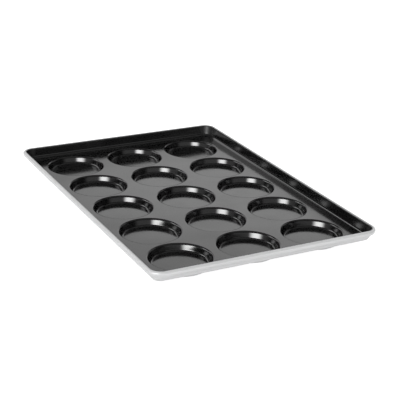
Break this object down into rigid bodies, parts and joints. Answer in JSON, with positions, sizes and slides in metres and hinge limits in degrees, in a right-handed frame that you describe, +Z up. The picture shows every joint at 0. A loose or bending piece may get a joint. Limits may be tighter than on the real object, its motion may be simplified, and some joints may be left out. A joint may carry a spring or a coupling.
{
  "type": "hamburger bun pan",
  "caption": "Rectangular baking pan with rows of shallow round bun moulds, a black non-stick lining, low flared walls and a wired, rolled rim.",
  "frame": {"origin": "under the middle of the pan, on the plane of the mould floors' undersides, on which it rests", "axes": "+X along the pan's long side, +Y across it, +Z up out of the moulds' mouths"},
  "size_m": [0.6568, 0.4536, 0.0358],
  "materials": {
    "satin_aluminium": "satin pressed sheet with faint streaks",
    "drawn_aluminium": "satin sheet, slightly duller where it is drawn",
    "black_nonstick": "black semi-gloss non-stick coating",
    "galvanised_steel": "dull galvanised"
  },
  "bodies": {
    "root": {"tray_sheet": "satin_aluminium", "mould_1_1": "drawn_aluminium", "mould_1_2": "drawn_aluminium", "mould_1_3": "drawn_aluminium", "mould_2_1": "drawn_aluminium", "mould_2_2": "drawn_aluminium", "mould_2_3": "drawn_aluminium", "mould_3_1": "drawn_aluminium", "mould_3_2": "drawn_aluminium", "mould_3_3": "drawn_aluminium", "mould_4_1": "drawn_aluminium", "mould_4_2": "drawn_aluminium", "mould_4_3": "drawn_aluminium", "mould_5_1": "drawn_aluminium", "mould_5_2": "drawn_aluminium", "mould_5_3": "drawn_aluminium", "nonstick_film": "black_nonstick", "rim_wire": "galvanised_steel"}
  },
  "joints": []
}
